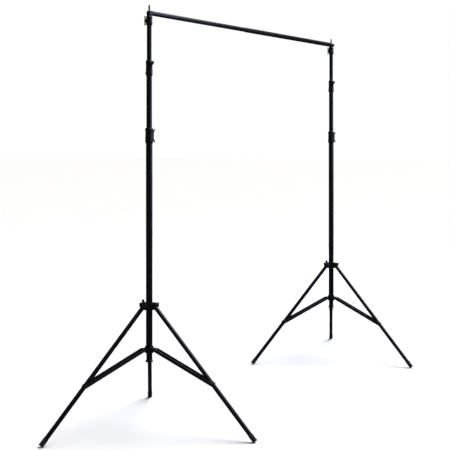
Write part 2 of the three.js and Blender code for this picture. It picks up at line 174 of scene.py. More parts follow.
def grain(tree, place, stretch, detail=3.0, roughness=0.55):
    """Noise over the piece's own coordinates; stretch is how many grains there are to a metre."""
    scaled = tree.nodes.new("ShaderNodeMapping")
    scaled.inputs["Scale"].default_value = stretch
    noise = tree.nodes.new("ShaderNodeTexNoise")
    noise.inputs["Scale"].default_value = 1.0
    noise.inputs["Detail"].default_value = detail
    noise.inputs["Roughness"].default_value = roughness
    tree.links.new(place, scaled.inputs["Vector"])
    tree.links.new(scaled.outputs["Vector"], noise.inputs["Vector"])
    return noise.outputs["Fac"]


def ramp(tree, value, low, high, from_low=0.0, from_high=1.0):
    """The value, spread so that from_low gives low and from_high gives high."""
    spread = tree.nodes.new("ShaderNodeMapRange")
    spread.inputs["From Min"].default_value = from_low
    spread.inputs["From Max"].default_value = from_high
    spread.inputs["To Min"].default_value = low
    spread.inputs["To Max"].default_value = high
    tree.links.new(value, spread.inputs["Value"])
    return spread.outputs["Result"]


def blended(tree, amount, first, second):
    """A colour that goes from first to second as amount goes from 0 to 1. Either may be an output."""
    mix = tree.nodes.new("ShaderNodeMix")
    mix.data_type = "RGBA"
    tree.links.new(amount, mix.inputs["Factor"])
    for socket, colour in ((mix.inputs[6], first), (mix.inputs[7], second)):
        if isinstance(colour, tuple):
            socket.default_value = (*colour, 1)
        else:
            tree.links.new(colour, socket)
    return mix.outputs[2]


def relief(tree, shader, height, depth, strength, under=None):
    """Height as a bump of that depth in metres, over any finer bump given as under."""
    bump = tree.nodes.new("ShaderNodeBump")
    bump.inputs["Strength"].default_value = strength
    bump.inputs["Distance"].default_value = depth
    tree.links.new(height, bump.inputs["Height"])
    if under is not None:
        tree.links.new(under, bump.inputs["Normal"])
    tree.links.new(bump.outputs["Normal"], shader.inputs["Normal"])
    return bump.outputs["Normal"]


studio_paper, tree, shader, place = new_finish("studio_paper", (0.93, 0.93, 0.93), 0.9)
tone = ramp(tree, grain(tree, place, (1.5, 1.5, 1.5), 4), 0, 1, 0.35, 0.65)
paper_tone = blended(tree, tone, (0.925, 0.925, 0.93), (0.945, 0.945, 0.945))
tree.links.new(paper_tone, shader.inputs["Base Color"])
relief(tree, shader, grain(tree, place, (900, 900, 900), 2), 0.0002, 0.1)

floor_mesh = bmesh.new()
bmesh.ops.create_grid(floor_mesh, x_segments=12, y_segments=12, size=FLOOR_HALF)
floor_data = bpy.data.meshes.new("floor")
floor_mesh.to_mesh(floor_data)
floor_mesh.free()
floor_data.materials.append(studio_paper)
floor = bpy.data.objects.new("floor", floor_data)
floor.visible_glossy = False
scene.collection.objects.link(floor)


# --- Column tubes ---
# Each stand has four drawn aluminium tubes that slide in one another, powder-coated satin black. The
# saw-cut ends are broken with a small chamfer, and sliding leaves fine streaks along the coat.
COLUMN_TUBES = (
    # part, body, outside radius
    ("lower_tube", "column", 15.0),
    ("middle_tube", "middle", 13.0),
    ("upper_tube", "upper", 11.0),
    ("top_tube", "top", 9.0),
)
COLUMN_WALL = 1.5
TUBE_END_CHAMFER = 0.5
ROUND = 72
MM = 0.001


def eased(corners, radius=0.5, steps=3):
    """The corners of a closed outline, each rounded. A corner may carry its own radius as a third value."""
    soft = []
    for i, corner in enumerate(corners):
        here = Vector(corner[:2])
        before = Vector(corners[i - 1][:2]) - here
        after = Vector(corners[(i + 1) % len(corners)][:2]) - here
        reach = min(corner[2] if len(corner) > 2 else radius, before.length * 0.48, after.length * 0.48)
        if reach < 0.02:
            soft.append(tuple(here))
            continue
        start = here + before.normalized() * reach
        end = here + after.normalized() * reach
        for step in range(steps + 1):
            t = step / steps
            soft.append(tuple(start * (1 - t) ** 2 + here * (2 * t * (1 - t)) + end * t * t))
    return soft


def smooth_mesh(shape, name, crease=32):
    """The finished mesh in metres, shaded smooth except across edges sharper than crease degrees."""
    bmesh.ops.remove_doubles(shape, verts=shape.verts, dist=0.002)
    bmesh.ops.recalc_face_normals(shape, faces=shape.faces)
    bmesh.ops.scale(shape, vec=(MM, MM, MM), verts=shape.verts)
    mesh = bpy.data.meshes.new(name)
    shape.to_mesh(mesh)
    shape.free()
    mesh.shade_smooth()
    mesh.set_sharp_from_angle(angle=math.radians(crease))
    return mesh


def turned(name, outline, sides=ROUND):
    """A closed outline of (radius, height) turned about Z, as on a lathe."""
    shape = bmesh.new()
    rings = []
    for radius, height in outline:
        count = 1 if radius < 1e-6 else sides
        angles = [2 * math.pi * i / sides for i in range(count)]
        points = [(radius * math.cos(a), radius * math.sin(a), height) for a in angles]
        rings.append([shape.verts.new(point) for point in points])
    for low, high in zip(rings, rings[1:] + rings[:1]):
        if len(low) == 1 and len(high) == 1:
            continue
        for i in range(sides):
            j = (i + 1) % sides
            corners = [low[i % len(low)], low[j % len(low)], high[j % len(high)], high[i % len(high)]]
            shape.faces.new(list(dict.fromkeys(corners)))
    return smooth_mesh(shape, name)


def tube(name, radius, wall, low, high, chamfer=TUBE_END_CHAMFER):
    inner = radius - wall
    corners = [(inner, low), (radius, low), (radius, high), (inner, high)]
    return turned(name, eased(corners, chamfer))


def set_in_place(name, mesh, where, finish, body, slot, *nodes):
    """One piece of the object: its mesh at its place, in its finish, on its body, for its CAD nodes."""
    if not mesh.materials:
        mesh.materials.append(finish)
    piece = bpy.data.objects.new(name, mesh)
    scene.collection.objects.link(piece)
    piece.matrix_world = where
    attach(piece, body)
    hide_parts(*nodes)
    return piece


def powder_coat(name, along):
    """Satin black powder coat: orange peel, a cloudy tone, and streaks along the tube where it slides."""
    material, tree, shader, place = new_finish(name, (0.005, 0.005, 0.0075), 0.32)
    shader.inputs["IOR"].default_value = 1.42
    cloud = ramp(tree, grain(tree, place, (38, 38, 14), 5), 0, 1, 0.3, 0.7)
    streak_scale = [620, 620, 620]
    streak_scale[along] = 7
    streak = ramp(tree, grain(tree, place, streak_scale, 4, 0.7), 0, 1, 0.56, 0.74)
    body_tone = blended(tree, cloud, (0.0028, 0.0028, 0.0048), (0.0062, 0.0062, 0.009))
    tree.links.new(blended(tree, streak, body_tone, (0.013, 0.013, 0.018)), shader.inputs["Base Color"])
    gloss = tree.nodes.new("ShaderNodeMath")
    gloss.operation = "SUBTRACT"
    tree.links.new(ramp(tree, grain(tree, place, (160, 160, 30), 4), 0.29, 0.42, 0.3, 0.7), gloss.inputs[0])
    tree.links.new(ramp(tree, streak, 0, 0.07), gloss.inputs[1])
    tree.links.new(gloss.outputs[0], shader.inputs["Roughness"])
    peel = relief(tree, shader, grain(tree, place, (700, 700, 700), 2), 0.00012, 0.16)
    relief(tree, shader, streak, 0.00003, 0.1, peel)
    return material


LENGTHWISE = 2
tube_coat = powder_coat("powder_coat", LENGTHWISE)

column_at = {}
for side in SIDES:
    column = middle_of(side + "_lower_tube")
    column_at[side] = Vector((column.x, column.y, 0))
for part, body, radius in COLUMN_TUBES:
    low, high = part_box("left_" + part)
    drawn = tube(part, radius, COLUMN_WALL, 0, (high.z - low.z) / MM)
    for side in SIDES:
        node = f"{side}_{part}"
        foot_of_tube = Matrix.Translation(column_at[side] + Vector((0, 0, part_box(node)[0].z)))
        set_in_place(node, drawn, foot_of_tube, tube_coat, f"{side}_{body}", "black_tube", node)


# --- Clamps ---
# Moulded nylon collars over the tubes' ends. Each has a stout foot with two grip grooves, a waist, a
# rolled head and a boss for its wing screw, and a shallow recess for the small screw that holds it on its
# tube.
CLAMPS = (
    # part, body, radius of its own tube, radius of the tube it grips, wall, seat on its own tube, boss
    ("lower_clamp", "column", 15.0, 13.0, 3.6, 20.0, 0.5),
    ("middle_clamp", "middle", 13.0, 11.0, 3.0, 20.0, 1.0),
    ("top_clamp", "upper", 11.0, 9.0, 4.3, 12.0, 0.5),
)
CLAMP_FIT = 0.3
BOSS_RADIUS = 8.0
SCREW_HOLE = 3.8
joints = {j["name"]: j for j in frame["joints"]}


def part_copy(mesh, where=Matrix.Identity(4)):
    moved = mesh.copy()
    moved.transform(where)
    return moved


def made_of(name, base, joined=(), cut=(), edge=0.45, crease=32):
    """One mesh from base, with others joined to it and cut from it and its edges rounded by edge mm."""
    blanks = []

    def blank(mesh):
        item = bpy.data.objects.new("blank", mesh)
        scene.collection.objects.link(item)
        blanks.append(item)
        return item

    body = blank(base)
    for operation, tools in (("UNION", joined), ("DIFFERENCE", cut)):
        for tool in tools:
            step = body.modifiers.new(operation.lower(), "BOOLEAN")
            step.operation = operation
            step.solver = "EXACT"
            step.object = blank(tool)
    if edge:
        weld = body.modifiers.new("weld", "WELD")
        weld.merge_threshold = 0.00004
        soften = body.modifiers.new("soften", "BEVEL")
        soften.width = edge * MM
        soften.segments = 2
        soften.limit_method = "ANGLE"
        soften.angle_limit = math.radians(crease)
        soften.use_clamp_overlap = True
    ready = body.evaluated_get(bpy.context.evaluated_depsgraph_get())
    mesh = bpy.data.meshes.new_from_object(ready)
    mesh.name = name
    for item in blanks:
        used = item.data
        bpy.data.objects.remove(item)
        if used.users == 0:
            bpy.data.meshes.remove(used)
    mesh.shade_smooth()
    mesh.set_sharp_from_angle(angle=math.radians(crease))
    return mesh


def spindle(radius, low, high, axis="Z", ease=0.0, sides=48):
    """A plain turned length, laid along an axis; a blank to join or to cut with."""
    outline = eased([(0, low, 0), (radius, low), (radius, high), (0, high, 0)], ease, 2)
    mesh = turned("spindle", outline, sides)
    if axis == "X":
        mesh.transform(Matrix.Rotation(math.radians(90), 4, "Y"))
    if axis == "Y":
        mesh.transform(Matrix.Rotation(math.radians(-90), 4, "X"))
    return mesh


def turn_z(degrees):
    return Matrix.Rotation(math.radians(degrees), 4, "Z")


def moulded_nylon(name, colour, pale, roughness):
    """Spark-textured black moulding, with cloudy flow and corners rubbed paler."""
    material, tree, shader, place = new_finish(name, colour, roughness)
    shader.inputs["IOR"].default_value = 1.46
    flow = ramp(tree, grain(tree, place, (55, 55, 35), 5), 0, 1, 0.3, 0.7)
    rubbed = tree.nodes.new("ShaderNodeNewGeometry").outputs["Pointiness"]
    scatter = tree.nodes.new("ShaderNodeMath")
    scatter.operation = "MULTIPLY"
    tree.links.new(ramp(tree, rubbed, 0, 1, 0.53, 0.62), scatter.inputs[0])
    tree.links.new(ramp(tree, grain(tree, place, (260, 260, 260), 4), 0.1, 1, 0.4, 0.65), scatter.inputs[1])
    darker = tuple(c * 0.6 for c in colour)
    body_tone = blended(tree, flow, darker, colour)
    tree.links.new(blended(tree, scatter.outputs[0], body_tone, pale), shader.inputs["Base Color"])
    tree.links.new(
        ramp(tree, grain(tree, place, (420, 420, 420), 3), roughness - 0.07, roughness + 0.09, 0.3, 0.7),
        shader.inputs["Roughness"],
    )
    spark = relief(tree, shader, grain(tree, place, (1700, 1700, 1700), 2), 0.00012, 0.28)
    relief(tree, shader, grain(tree, place, (120, 120, 120), 2), 0.0004, 0.08, spark)
    return material


clamp_nylon = moulded_nylon("clamp_nylon", (0.006, 0.006, 0.0085), (0.02, 0.02, 0.026), 0.36)


def clamp_collar(name, own, gripped, wall, seat, boss_out, height):
    outside = own + wall
    bore = gripped + CLAMP_FIT
    socket = own + CLAMP_FIT
    waist = outside - min(1.4, wall * 0.25)
    foot_taper = min(4.0, wall * 0.6)
    foot = 0.38 * height
    head = height - 0.19 * height
    groove = min(0.9, wall * 0.18)
    corners = [
        (socket, 0, 0.4),
        (outside - foot_taper, 0, 0.8),
        (outside, 0.11 * height, 1.5),
    ]
    for start in (0.19, 0.28):
        z = start * height
        corners += [
            (outside, z, 0.3),
            (outside - groove, z + 0.5, 0.3),
            (outside - groove, z + 1.7, 0.3),
            (outside, z + 2.2, 0.3),
        ]
    corners += [
        (outside, foot, 0.8),
        (waist, foot + 1.6, 1.2),
        (waist, head - 1.6, 1.2),
        (outside, head, 0.8),
        (outside, height - 3.5, 1.2),
        (outside - 2.4, height, 1.0),
        (bore, height, 0.5),
        (bore, seat + CLAMP_FIT, 0.0),
        (socket, seat + CLAMP_FIT, 0.0),
    ]
    collar = turned(name, eased(corners))
    boss_root = own + 1.4
    boss = eased(
        [(0, boss_root, 0), (BOSS_RADIUS + 1.6, boss_root, 0), (BOSS_RADIUS, outside + 0.3, 1.2)]
        + [(BOSS_RADIUS, outside + boss_out, 0.5), (0, outside + boss_out, 0)]
    )
    boss_mesh = turned("boss", boss, 48)
    boss_mesh.transform(Matrix.Rotation(math.radians(90), 4, "Y"))
    boss_mesh.transform(Matrix.Translation((0, 0, height / 2 * MM)))
    hole = spindle(SCREW_HOLE, 0, 2 * outside, "X")
    hole.transform(Matrix.Translation((0, 0, height / 2 * MM)))
    recess = spindle(3.1, outside - 1.1, outside + 5, "X")
    recess.transform(Matrix.Translation((0, 0, 0.11 * height * MM + 0.0018)) @ turn_z(180))
    return made_of(name, collar, [boss_mesh], [hole, recess], 0.35)


def facing_of(joint):
    """Which way a joint's axis points in plan, as a turn about Z."""
    x, y, _ = joints[joint]["axis"]
    return Matrix.Rotation(math.atan2(y, x), 4, "Z")


for part, body, own, gripped, wall, seat, boss_out in CLAMPS:
    low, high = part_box("left_" + part)
    collar = clamp_collar(part, own, gripped, wall, seat, boss_out, (high.z - low.z) / MM)
    for side in SIDES:
        node = f"{side}_{part}"
        stands_at = Matrix.Translation(column_at[side] + Vector((0, 0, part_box(node)[0].z)))
        where = stands_at @ facing_of(f"{side}_{part.split('_')[0]}_knob_turn")
        set_in_place(node, collar, where, clamp_nylon, f"{side}_{body}", "black_casting", node)


# --- Wing screws ---
# Each clamp and the sliding hub are locked by a steel screw with a moulded head: a stout bar with
# blunt rounded ends over a round middle. The lower clamp's is bowed well outwards, for more grip.
WING_SCREWS = (
    # node's ending, joint's ending, span, roll about the screw, gripped radius, seat radius, depth, sweep
    ("lower_clamp_knob", "lower_knob", 62, 0, 13.0, 19.1, 5.0, 13.0),
    ("middle_clamp_knob", "middle_knob", 70, -33, 11.0, 17.0, 7.0, 3.0),
    ("top_clamp_knob", "top_knob", 44, 0, 9.0, 15.8, 6.0, 0.5),
    ("leg_hub_knob", "hub_knob", 38, 0, 15.0, 26.0, 12.0, 0.5),
)
SHANK_RADIUS = 3.5
HEAD_GAP = 0.4
WING_THICK = 9.0
WING_MIDDLE = 6.5
WING_STEPS = 22
WING_GRAIN = 0.5
knob_polymer = moulded_nylon("knob_polymer", (0.004, 0.004, 0.006), (0.018, 0.018, 0.022), 0.42)


def wings(span, back, depth, sweep):
    """The two wings as one bowed bar of squarish oval section, blunt at its ends."""
    shape = bmesh.new()
    half = span / 2
    rings = []
    for i in range(-WING_STEPS, WING_STEPS + 1):
        along = i / WING_STEPS
        share = math.sin(abs(along) * math.pi / 2)
        z = math.copysign(half * share, along)
        close = math.sqrt(max(0.0, 1 - max(0.0, (share - 0.84) / 0.16) ** 2.6))
        middle_x = back + depth / 2 + max(0.0, sweep - 0.2) * share**3.2
        deep = depth / 2 * close
        wide = WING_THICK / 2 * close
        ring = []
        for k in range(20):
            a = 2 * math.pi * k / 20
            ca, sa = math.cos(a), math.sin(a)
            x = middle_x + deep * math.copysign(abs(ca) ** 0.6, ca)
            y = wide * math.copysign(abs(sa) ** 0.6, sa)
            ring.append(shape.verts.new((x, y, z)))
        rings.append(ring)
    for low, high in zip(rings, rings[1:]):
        for k in range(20):
            shape.faces.new((low[k], low[(k + 1) % 20], high[(k + 1) % 20], high[k]))
    shape.faces.new(rings[0][::-1])
    shape.faces.new(rings[-1])
    return smooth_mesh(shape, "wings")


def moulded_together(name, meshes, grain_size, passes):
    """Closed shapes fused into one skin with soft fillets where they meet."""
    joined = bmesh.new()
    for mesh in meshes:
        joined.from_mesh(mesh)
        bpy.data.meshes.remove(mesh)
    raw = bpy.data.meshes.new("raw")
    joined.to_mesh(raw)
    joined.free()
    item = bpy.data.objects.new("raw", raw)
    scene.collection.objects.link(item)
    fuse = item.modifiers.new("fuse", "REMESH")
    fuse.mode = "VOXEL"
    fuse.voxel_size = grain_size * MM
    ease = item.modifiers.new("ease", "SMOOTH")
    ease.factor = 0.5
    ease.iterations = passes
    mesh = bpy.data.meshes.new_from_object(item.evaluated_get(bpy.context.evaluated_depsgraph_get()))
    mesh.name = name
    bpy.data.objects.remove(item)
    bpy.data.meshes.remove(raw)
    mesh.shade_smooth()
    return mesh


def wing_screw(name, span, gripped, seat, depth, sweep):
    back = seat + HEAD_GAP
    front = back + depth
    r = WING_MIDDLE
    skirt = [(0, back, 0), (r - 0.5, back, 0.4), (r, back + 1.2, 0.8), (r, front - 1.2, 0.8)]
    skirt += [(r - 1, front, 0.6), (3.4, front, 0.5), (2.6, front - 0.9, 0.5), (0, front - 1, 0)]
    middle = turned("middle", eased(skirt), 40)
    middle.transform(Matrix.Rotation(math.radians(90), 4, "Y"))
    head = moulded_together(name, [middle, wings(span, back, depth, sweep)], WING_GRAIN, 2)
    tip = gripped + CLAMP_FIT
    pitch = 0.8
    thread = [(0, tip, 0), (SHANK_RADIUS - 1.0, tip, 0.2)]
    z = tip + 0.8
    while z < back - 0.4:
        thread += [(SHANK_RADIUS - 0.45, z, 0), (SHANK_RADIUS, z + pitch / 2, 0)]
        z += pitch
    thread += [(SHANK_RADIUS - 0.4, back + 1.5, 0), (0, back + 1.5, 0)]
    shank = turned("shank", [corner[:2] for corner in thread], 32)
    shank.transform(Matrix.Rotation(math.radians(90), 4, "Y"))
    whole = bmesh.new()
    whole.from_mesh(head)
    whole.from_mesh(shank)
    both = bpy.data.meshes.new(name)
    whole.to_mesh(both)
    whole.free()
    both.shade_smooth()
    both.set_sharp_from_angle(angle=math.radians(50))
    return both


for ending, joint, span, roll, gripped, seat, depth, sweep in WING_SCREWS:
    screw = wing_screw(ending, span, gripped, seat, depth, sweep)
    for side in SIDES:
        node = f"{side}_{ending}"
        pivot = Matrix.Translation(joints[f"{side}_{joint}_turn"]["pos_m"])
        roll_about = Matrix.Rotation(math.radians(roll), 4, "X")
        where = pivot @ facing_of(f"{side}_{joint}_turn") @ roll_about
        set_in_place(node, screw, where, knob_polymer, f"{side}_{joint}", "black_knob", node)


# --- Sliding leg hub ---
# One nylon moulding that slides on the column: a sleeve with three roofed ears, each a pair of cheeks
# either side of a leg's end, with a lip the open leg leans on.
LEG_R = 10.0
PIVOT_OUT = 31.38
LEG_SPREAD = math.radians(42.4)
HUB = {"bore": 15.4, "sleeve": 19.0, "slot": 10.4, "cheek": 3.5, "below": 13.0, "roof": 6.0, "sweep": 12.38}
HUB_EAR = {"gap": 1.2, "lip": 1.8, "shoulder": 3.0}
HUB_BOSS = {"up": 11.0, "out": 7.0}
PIN_HOLE = 3.3


def leg_direction(side, number):
    """Which way a leg points in plan, as an angle about Z."""
    x, y, _ = joints[f"{side}_leg_{number}_fold"]["pos_m"]
    return math.atan2(y - column_at[side].y, x - column_at[side].x)


def in_stand(side, height):
    """A place on a stand's axis, turned as the stand is."""
    stand_turn = leg_direction(side, 1) - math.pi / 2
    on_axis = Matrix.Translation(column_at[side] + Vector((0, 0, height)))
    return on_axis @ Matrix.Rotation(stand_turn, 4, "Z")


def plate(name, outline, thick):
    """An outline of (x, z) with a thickness centred on y = 0."""
    shape = bmesh.new()
    faces = []
    for y in (-thick / 2, thick / 2):
        faces.append([shape.verts.new((x, y, z)) for x, z in outline])
    shape.faces.new(faces[0])
    shape.faces.new(faces[1][::-1])
    for i in range(len(outline)):
        j = (i + 1) % len(outline)
        shape.faces.new((faces[0][j], faces[0][i], faces[1][i], faces[1][j]))
    return smooth_mesh(shape, name)


def leg_hub_mesh():
    below, roof_under = -HUB["below"], HUB["sweep"]
    top = roof_under + HUB["roof"]
    lip = PIVOT_OUT + LEG_R + HUB_EAR["gap"]
    ear_end = lip + HUB_EAR["lip"]
    leg_top_at_lip = -(lip - PIVOT_OUT) / math.tan(LEG_SPREAD) + LEG_R / math.sin(LEG_SPREAD)
    lip_low = leg_top_at_lip + HUB_EAR["gap"]
    half = HUB["slot"] + HUB["cheek"]
    shoulder = PIVOT_OUT + HUB_EAR["shoulder"]
    ear = eased(
        [(0, below, 0), (shoulder, below, 4), (ear_end, lip_low, 1.5), (ear_end, top, 2.5), (0, top, 0)]
    )
    slot = [(HUB["sleeve"], below - 2), (90, below - 2), (90, lip_low), (lip, lip_low)]
    slot += [(lip, roof_under), (HUB["sleeve"], roof_under)]
    pocket = eased([(24, top - 1.6), (37, top - 1.6), (37, top + 3), (24, top + 3)], 0.1)
    joined, cut = [], []
    for number in range(3):
        turn = turn_z(90 + 120 * number)
        joined.append(part_copy(plate("ear", ear, 2 * half), turn))
        for face in (-1, 1):
            pad = spindle(6.6, half - 1, half + 0.35, "Y", 0.3)
            pad.transform(Matrix.Translation((PIVOT_OUT * MM, 0, 0)))
            joined.append(part_copy(pad, turn @ Matrix.Scale(face, 4, (0, 1, 0))))
        cut.append(part_copy(plate("slot", slot, 2 * HUB["slot"]), turn))
        hole = spindle(PIN_HOLE, -3 * half, 3 * half, "Y", 0, 32)
        hole.transform(Matrix.Translation((PIVOT_OUT * MM, 0, 0)))
        cut.append(part_copy(hole, turn))
        cut.append(part_copy(plate("pocket", pocket, 12), turn))
    r = HUB["sleeve"]
    sleeve = turned("sleeve", eased([(0, below, 0), (r, below, 1), (r, top, 1), (0, top, 0)]))
    boss = spindle(BOSS_RADIUS, 16, HUB["sleeve"] + HUB_BOSS["out"], "X", 0.6)
    boss.transform(Matrix.Translation((0, 0, HUB_BOSS["up"] * MM)))
    joined.append(part_copy(boss, turn_z(150)))
    screw_hole = spindle(SCREW_HOLE, 0, 60, "X", 0, 32)
    screw_hole.transform(Matrix.Translation((0, 0, HUB_BOSS["up"] * MM)))
    cut.append(part_copy(screw_hole, turn_z(150)))
    cut.append(spindle(HUB["bore"], below - 5, top + 5, "Z", 0, ROUND))
    return made_of("leg_hub", sleeve, joined, cut, 0.7)


hub_nylon = moulded_nylon("hub_nylon", (0.006, 0.006, 0.009), (0.02, 0.02, 0.028), 0.36)
hub_casting = leg_hub_mesh()
for side in SIDES:
    node = f"{side}_leg_hub"
    where = in_stand(side, joints[f"{side}_leg_1_fold"]["pos_m"][2])
    set_in_place(node, hub_casting, where, hub_nylon, f"{side}_hub", "black_casting", node)


# --- Leg pins ---
# A blackened steel pin crosses each pair of cheeks through the leg's end. Its heads are domed, with
# the small dimple that riveting leaves.
PIN = {"radius": 3.0, "half": 14.3, "head": 5.0, "head_high": 1.5}


def black_steel(name, colour, roughness, worn):
    """Blackened steel with turning marks round its axis and bright rubbed rims."""
    material, tree, shader, place = new_finish(name, colour, roughness, 0.85)
    rubbed = tree.nodes.new("ShaderNodeNewGeometry").outputs["Pointiness"]
    speck = ramp(tree, grain(tree, place, (900, 900, 900), 4), 0, 1, 0.45, 0.7)
    wear = tree.nodes.new("ShaderNodeMath")
    wear.operation = "MULTIPLY"
    tree.links.new(ramp(tree, rubbed, 0, 1, 0.52, 0.6), wear.inputs[0])
    tree.links.new(speck, wear.inputs[1])
    tone = blended(tree, grain(tree, place, (200, 200, 200), 4), tuple(c * 0.55 for c in colour), colour)
    tree.links.new(blended(tree, wear.outputs[0], tone, worn), shader.inputs["Base Color"])
    tree.links.new(ramp(tree, speck, roughness + 0.08, roughness - 0.06), shader.inputs["Roughness"])
    relief(tree, shader, grain(tree, place, (260, 260, 2600), 3), 0.00004, 0.18)
    return material


pin_steel = black_steel("pin_steel", (0.032, 0.032, 0.038), 0.36, (0.12, 0.12, 0.125))


def domed_head(face, radius, high):
    """Half of a rivet's head as corners from its rim in to its dimple, standing out from face."""
    return [
        (radius, face, 0.2),
        (radius, face + high * 0.35, 0.4),
        (radius * 0.55, face + high, 0.8),
        (radius * 0.24, face + high, 0.2),
        (radius * 0.16, face + high * 0.72, 0.1),
        (0, face + high * 0.66, 0),
    ]


def mirrored(corners):
    return [(corner[0], -corner[1], *corner[2:]) for corner in reversed(corners)]


head = domed_head(PIN["half"], PIN["head"], PIN["head_high"])
shank = [(PIN["radius"], -PIN["half"], 0.2), (PIN["radius"], PIN["half"], 0.2)]
pin_corners = mirrored(head) + shank + head
pin_mesh = turned("leg_pin", eased(pin_corners), 40)
pin_mesh.transform(Matrix.Rotation(math.radians(-90), 4, "X"))
for side in SIDES:
    for number in LEGS:
        node = f"{side}_leg_pin_{number}"
        pivot = Matrix.Translation(joints[f"{side}_leg_{number}_fold"]["pos_m"])
        where = pivot @ Matrix.Rotation(leg_direction(side, number), 4, "Z")
        set_in_place(node, pin_mesh, where, pin_steel, f"{side}_hub", "steel_pin", node)


# --- Legs ---
# Straight lengths of thinner black tube, saw-cut and eased at the open top, and cross-drilled there
# for the pin. The sliding hub's cheeks hide the cut.
LEG = {"wall": 1.3, "past_pivot": 5.0, "to_floor": 741.474, "foot_end": 3.5}


def along_leg(side, number):
    pivot = Matrix.Translation(joints[f"{side}_leg_{number}_fold"]["pos_m"])
    outwards = Matrix.Rotation(leg_direction(side, number), 4, "Z")
    return pivot @ outwards @ Matrix.Rotation(-LEG_SPREAD, 4, "Y")


def leg_mesh():
    bottom = -(LEG["to_floor"] - LEG["foot_end"] - CLAMP_FIT)
    pipe = tube("leg", LEG_R, LEG["wall"], bottom, LEG["past_pivot"], 0.45)
    hole = spindle(PIN_HOLE, -2 * LEG_R, 2 * LEG_R, "Y", 0, 32)
    return made_of("leg", pipe, [], [hole], 0)


leg_tube = leg_mesh()
for side in SIDES:
    for number in LEGS:
        node = f"{side}_leg_{number}"
        set_in_place(node, leg_tube, along_leg(side, number), tube_coat, node, "black_tube", node)


# --- Feet ---
# Rubber caps pushed over the legs' ends, with three grip rings round the side, a bead at the mouth
# and a thick end that is worn level where it stands on the floor.
FOOT = {"radius": 11.5, "length": 36.0, "ring": 0.7}


def moulded_rubber(name):
    """Matt black rubber, speckled, with dust in scattered patches."""
    material, tree, shader, place = new_finish(name, (0.011, 0.011, 0.011), 0.82)
    shader.inputs["Specular IOR Level"].default_value = 0.3
    speck = ramp(tree, grain(tree, place, (900, 900, 900), 4), 0, 1, 0.5, 0.72)
    dust = ramp(tree, grain(tree, place, (70, 70, 70), 5), 0, 0.7, 0.46, 0.72)
    tone = blended(tree, speck, (0.008, 0.008, 0.008), (0.02, 0.02, 0.02))
    tree.links.new(blended(tree, dust, tone, (0.036, 0.035, 0.033)), shader.inputs["Base Color"])
    tree.links.new(ramp(tree, dust, 0.74, 0.93), shader.inputs["Roughness"])
    relief(tree, shader, grain(tree, place, (1300, 1300, 1300), 3), 0.00015, 0.4)
    return material


foot_rubber = moulded_rubber("foot_rubber")


def foot_mesh():
    end = -LEG["to_floor"]
    mouth = end + FOOT["length"]
    r = FOOT["radius"]
    bore = LEG_R + CLAMP_FIT
    corners = [(0, end, 0), (r, end, 1.6)]
    for ring in range(3):
        z = end + 9 + 6.5 * ring
        groove = r - FOOT["ring"]
        corners += [(r, z, 0.3), (groove, z + 0.8, 0.3), (groove, z + 2.2, 0.3), (r, z + 3.0, 0.3)]
    corners += [(r - 0.5, mouth - 5.2, 0.4), (r, mouth - 4.2, 0.6), (r, mouth, 0.9), (bore, mouth, 0.3)]
    corners += [(bore, end + LEG["foot_end"], 0), (0, end + LEG["foot_end"], 0)]
    cap = turned("foot", eased(corners), 64)
    drop = joints["left_leg_1_fold"]["pos_m"][2] / MM
    under = bmesh.new()
    bmesh.ops.create_cube(under, size=1)
    bmesh.ops.scale(under, vec=(400, 400, 400), verts=under.verts)
    bmesh.ops.translate(under, vec=(600, 0, -drop - 200), verts=under.verts)
    floor_block = smooth_mesh(under, "under_floor")
    floor_block.transform(Matrix.Rotation(LEG_SPREAD, 4, "Y"))
    return made_of("foot", cap, [], [floor_block], 0)


foot_cap = foot_mesh()
for side in SIDES:
    for number in LEGS:
        node = f"{side}_foot_{number}"
        where = along_leg(side, number)
        set_in_place(node, foot_cap, where, foot_rubber, f"{side}_leg_{number}", "rubber", node)


# --- Braces ---
# Two flat black steel straps straddle each leg. A riveted pin joins them through the lower hub's
# tongue, and rivet heads mark where they are pinned to the leg.
STRAP = {"inner": 10.7, "thick": 2.5, "height": 16.0}
BRACE_PIN = {"radius": 3.0, "head": 5.0, "head_high": 1.5}
BRACE_LENGTH = 315.157
BRACE_SLOPE = math.radians(-23.266)


def strap_paint(name):
    """Black stove paint on flat steel, a little uneven, chipped to dull steel along the edges."""
    material, tree, shader, place = new_finish(name, (0.006, 0.006, 0.009), 0.36)
    rubbed = tree.nodes.new("ShaderNodeNewGeometry").outputs["Pointiness"]
    chip = tree.nodes.new("ShaderNodeMath")
    chip.operation = "MULTIPLY"
    tree.links.new(ramp(tree, rubbed, 0, 1, 0.56, 0.66), chip.inputs[0])
    tree.links.new(ramp(tree, grain(tree, place, (150, 150, 150), 6), 0, 1, 0.55, 0.66), chip.inputs[1])
    cloud = ramp(tree, grain(tree, place, (30, 30, 30), 5), 0, 1, 0.3, 0.7)
    tone = blended(tree, cloud, (0.004, 0.004, 0.006), (0.009, 0.009, 0.012))
    tree.links.new(blended(tree, chip.outputs[0], tone, (0.11, 0.11, 0.115)), shader.inputs["Base Color"])
    gloss = ramp(tree, grain(tree, place, (240, 240, 240), 4), 0.33, 0.5, 0.3, 0.7)
    tree.links.new(gloss, shader.inputs["Roughness"])
    relief(tree, shader, grain(tree, place, (480, 480, 480), 2), 0.00015, 0.2)
    return material


brace_paint = strap_paint("brace_paint")


